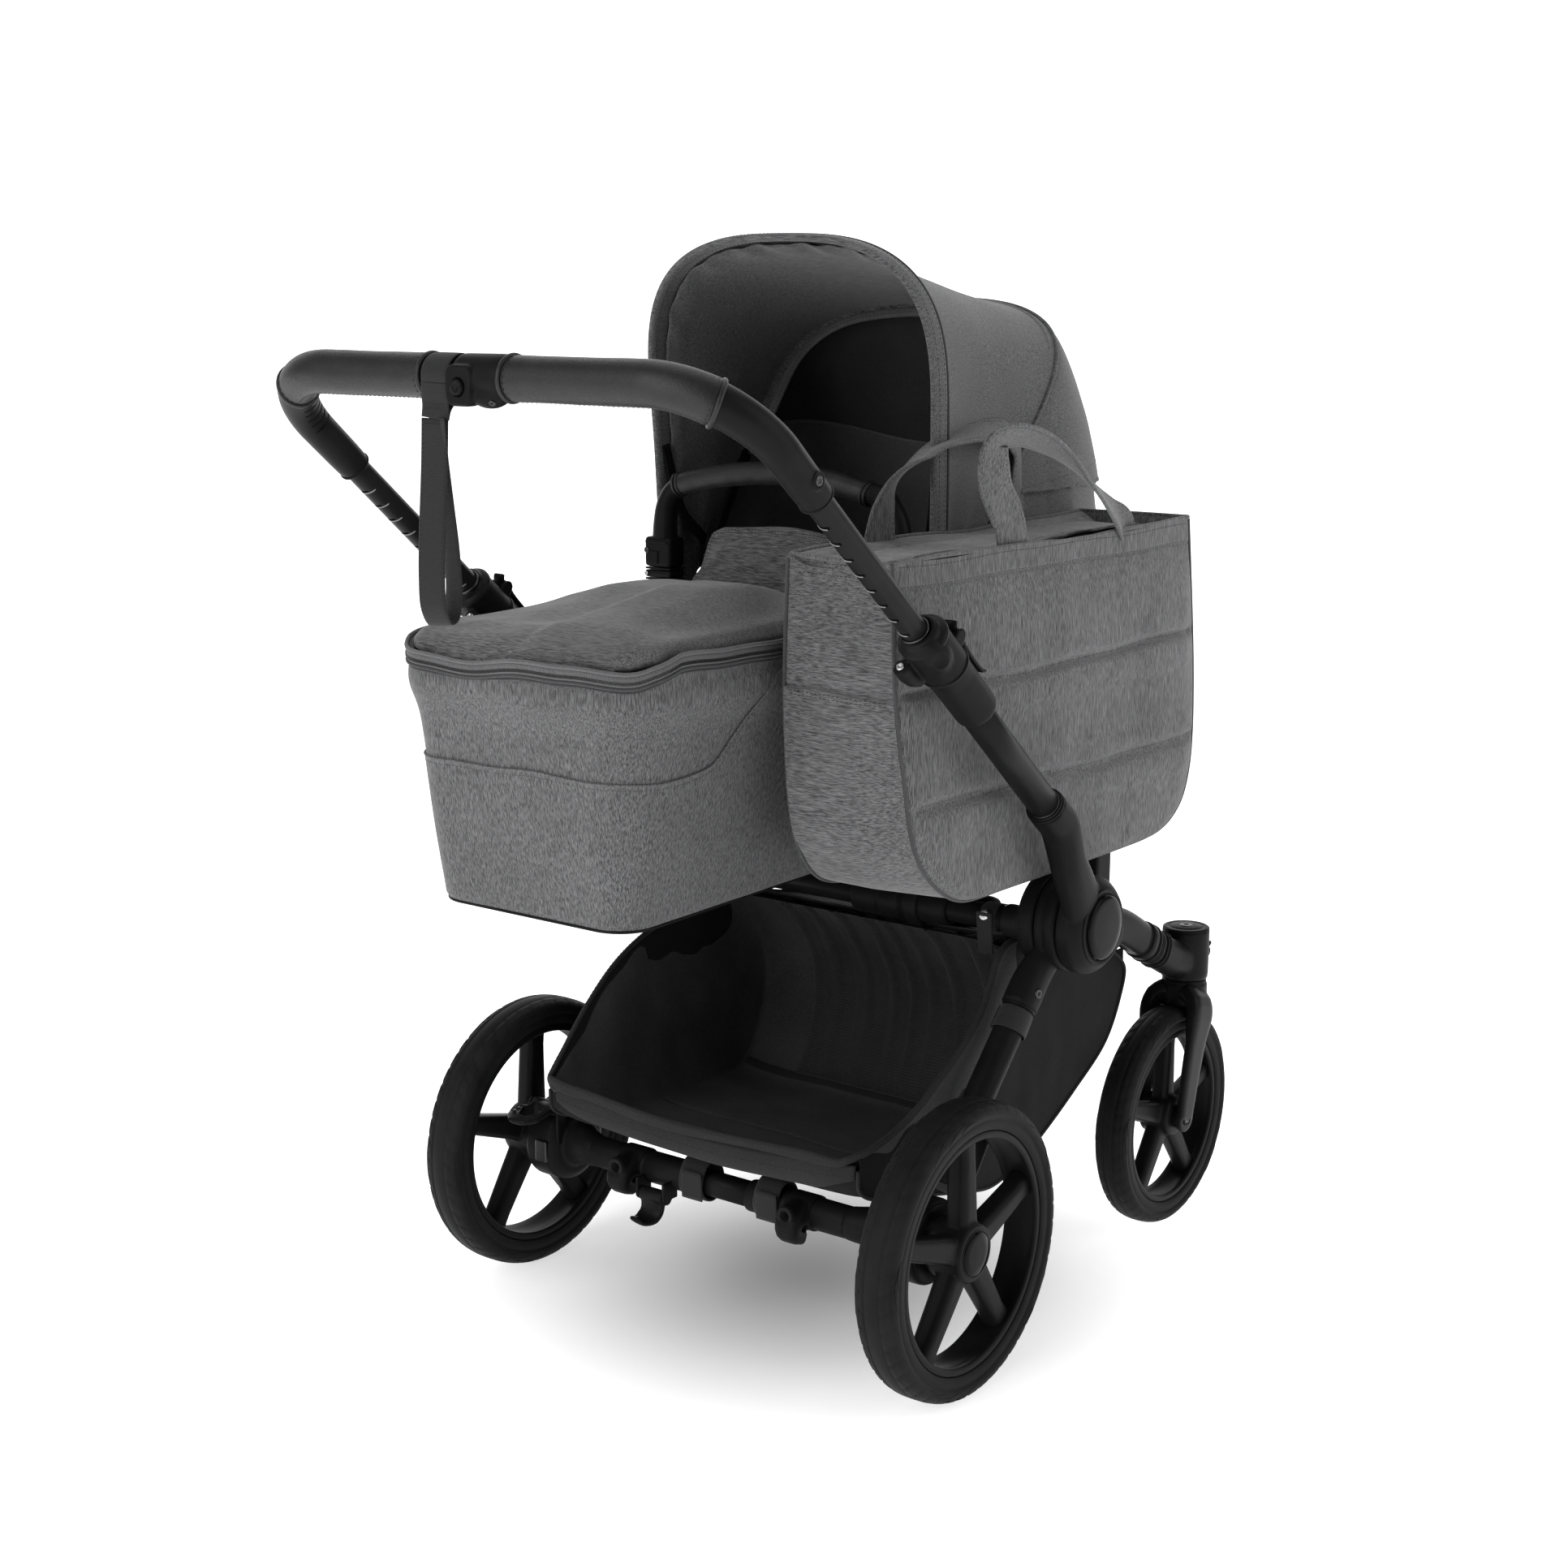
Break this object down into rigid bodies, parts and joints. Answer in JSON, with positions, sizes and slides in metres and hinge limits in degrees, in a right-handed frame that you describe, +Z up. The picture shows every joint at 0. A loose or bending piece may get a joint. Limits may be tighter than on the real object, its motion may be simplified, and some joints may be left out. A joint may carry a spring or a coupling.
{
  "type": "baby stroller",
  "caption": "Convertible stroller chassis with a hooded carrycot on the left, a soft side bag on the right, a telescoping push bar, swivel front wheels and an under-seat basket.",
  "frame": {"origin": "centre of the ground footprint: the middle of the overall box at floor level", "axes": "+Y the way the stroller travels (hood end of the cot, swivel wheels), +X to the pusher's right (the bag side), +Z up"},
  "size_m": [0.616, 1.0445, 1.125],
  "materials": {
    "frame_black": "satin",
    "cast_black": "fine matte moulded",
    "gloss_cap": "gloss",
    "tyre_black": "matte rubber",
    "rim_black": "satin moulded",
    "grip_leather": "fine grained, stitched",
    "cloth_grey": "woven melange",
    "cloth_trim": "bound edge",
    "lining_dark": "plain lining",
    "basket_black": "coated weave with a mesh panel",
    "webbing": "close-woven webbing",
    "screw_steel": "turned"
  },
  "bodies": {
    "chassis": {"hub_left": "cast_black", "hub_right": "cast_black", "front_leg_left": "frame_black", "front_leg_right": "frame_black", "caster_housing_left": "cast_black", "caster_housing_right": "cast_black", "cross_tubes": "frame_black", "cross_sleeves": "cast_black", "basket": "basket_black", "cot_adapters": "cast_black", "bag_post": "cast_black", "frame_screws": "screw_steel"},
    "rear_frame": {"rear_leg_left": "frame_black", "rear_leg_right": "frame_black", "axle_bar": "frame_black", "axle_drum_left": "cast_black", "axle_drum_right": "cast_black"},
    "brake": {"brake_pedal": "cast_black"},
    "axle_lock": {"axle_lock_lever": "cast_black"},
    "wheel_rear_left": {"rear_tyre_left": "tyre_black", "rear_rim_left": "rim_black"},
    "wheel_rear_right": {"rear_tyre_right": "tyre_black", "rear_rim_right": "rim_black"},
    "fork_left": {"caster_fork_left": "cast_black"},
    "fork_right": {"caster_fork_right": "cast_black"},
    "wheel_front_left": {"front_tyre_left": "tyre_black", "front_rim_left": "rim_black"},
    "wheel_front_right": {"front_tyre_right": "tyre_black", "front_rim_right": "rim_black"},
    "swivel_lock_left": {"caster_lock_left": "cast_black"},
    "swivel_lock_right": {"caster_lock_right": "cast_black"},
    "handle_lower": {"handle_arm_left": "cast_black", "handle_arm_right": "cast_black", "outer_tube_left": "frame_black", "outer_tube_right": "frame_black", "clamp_left": "cast_black", "clamp_right": "cast_black", "hub_caps": "gloss_cap"},
    "clamp_tab_left": {"clamp_lever_left": "cast_black"},
    "clamp_tab_right": {"clamp_lever_right": "cast_black"},
    "handle_upper": {"inner_tube_left": "frame_black", "inner_tube_right": "frame_black", "handle_elbow_left": "cast_black", "handle_elbow_right": "cast_black", "handlebar_grips": "grip_leather", "fold_unit": "cast_black"},
    "button": {"fold_button": "cast_black"},
    "strap": {"wrist_strap": "webbing"},
    "carrycot": {"cot_shell": "cloth_grey", "cot_clips": "cast_black", "mattress": "lining_dark", "apron": "cloth_grey", "hood_pivots": "cast_black"},
    "hood_middle": {"hood_rib_rear": "cloth_trim", "hood_back": "cloth_grey"},
    "hood_front": {"hood_rib_front": "cloth_trim", "hood_canopy": "cloth_grey"},
    "carry_bow": {"carry_handle": "grip_leather"},
    "bag": {"bag_body": "cloth_grey", "bag_handles": "cloth_grey"}
  },
  "joints": [
    {"name": "frame_fold", "type": "hinge", "parent": "chassis", "child": "handle_lower", "pos_m": [0, 0.104, 0.4245], "axis": [-1, 0, 0], "range_deg": [0, 150], "deforming": ["wrist_strap"]},
    {"name": "rear_leg_fold", "type": "hinge", "parent": "chassis", "child": "rear_frame", "pos_m": [0, 0.104, 0.4245], "axis": [1, 0, 0], "range_deg": [0, 57], "deforming": ["basket"]},
    {"name": "handle_telescope", "type": "slide", "parent": "handle_lower", "child": "handle_upper", "axis": [0, -0.7615, 0.6481], "range_m": [-0.115, 0]},
    {"name": "clamp_tab_left_flip", "type": "hinge", "parent": "handle_lower", "child": "clamp_tab_left", "pos_m": [0, -0.18153, 0.76074], "axis": [1, 0, 0], "range_deg": [0, 45]},
    {"name": "clamp_tab_right_flip", "type": "hinge", "parent": "handle_lower", "child": "clamp_tab_right", "pos_m": [0, -0.18153, 0.76074], "axis": [1, 0, 0], "range_deg": [0, 45]},
    {"name": "fold_button_press", "type": "slide", "parent": "handle_upper", "child": "button", "axis": [0, 1, 0], "range_m": [0, 0.004], "stiffness_N_per_m": 600},
    {"name": "wrist_strap_swing", "type": "hinge", "parent": "handle_upper", "child": "strap", "pos_m": [0, -0.50037, 0.99402], "axis": [1, 0, 0], "range_deg": [-25, 12]},
    {"name": "rear_wheel_left_spin", "type": "hinge", "parent": "rear_frame", "child": "wheel_rear_left", "pos_m": [0, -0.146, 0.15], "axis": [1, 0, 0], "continuous": true},
    {"name": "rear_wheel_right_spin", "type": "hinge", "parent": "rear_frame", "child": "wheel_rear_right", "pos_m": [0, -0.146, 0.15], "axis": [1, 0, 0], "continuous": true},
    {"name": "caster_left_swivel", "type": "hinge", "parent": "chassis", "child": "fork_left", "pos_m": [-0.216, 0.432, 0], "axis": [0, 0, 1], "continuous": true},
    {"name": "caster_right_swivel", "type": "hinge", "parent": "chassis", "child": "fork_right", "pos_m": [0.216, 0.432, 0], "axis": [0, 0, 1], "continuous": true},
    {"name": "front_wheel_left_spin", "type": "hinge", "parent": "fork_left", "child": "wheel_front_left", "pos_m": [0, 0.39, 0.128], "axis": [1, 0, 0], "continuous": true},
    {"name": "front_wheel_right_spin", "type": "hinge", "parent": "fork_right", "child": "wheel_front_right", "pos_m": [0, 0.39, 0.128], "axis": [1, 0, 0], "continuous": true},
    {"name": "swivel_lock_left_flip", "type": "hinge", "parent": "chassis", "child": "swivel_lock_left", "pos_m": [0, 0.465, 0.318], "axis": [1, 0, 0], "range_deg": [0, 30]},
    {"name": "swivel_lock_right_flip", "type": "hinge", "parent": "chassis", "child": "swivel_lock_right", "pos_m": [0, 0.465, 0.318], "axis": [1, 0, 0], "range_deg": [0, 30]},
    {"name": "brake_pedal_press", "type": "hinge", "parent": "rear_frame", "child": "brake", "pos_m": [0, -0.176, 0.194], "axis": [1, 0, 0], "range_deg": [0, 18]},
    {"name": "axle_lock_flip", "type": "hinge", "parent": "rear_frame", "child": "axle_lock", "pos_m": [0, -0.188, 0.134], "axis": [1, 0, 0], "range_deg": [-60, 0]},
    {"name": "carrycot_lift", "type": "slide", "parent": "chassis", "child": "carrycot", "axis": [0, 0, 1], "range_m": [0, 0.12]},
    {"name": "bag_lift", "type": "slide", "parent": "chassis", "child": "bag", "axis": [0, 0, 1], "range_m": [0, 0.12]},
    {"name": "carry_handle_tilt", "type": "hinge", "parent": "carrycot", "child": "carry_bow", "pos_m": [0, 0.039, 0.729], "axis": [1, 0, 0], "range_deg": [0, 62]},
    {"name": "hood_middle_fold", "type": "hinge", "parent": "carrycot", "child": "hood_middle", "pos_m": [0, 0.109, 0.782], "axis": [-1, 0, 0], "range_deg": [0, 20], "deforming": ["hood_back"]},
    {"name": "hood_fold", "type": "hinge", "parent": "hood_middle", "child": "hood_front", "pos_m": [0, 0.109, 0.782], "axis": [-1, 0, 0], "range_deg": [0, 30], "deforming": ["hood_canopy"]}
  ],
  "couplings": [
    {"joint": "rear_leg_fold", "follows": "frame_fold", "ratio": 0.38},
    {"joint": "hood_middle_fold", "follows": "hood_fold", "ratio": 0.6667}
  ]
}
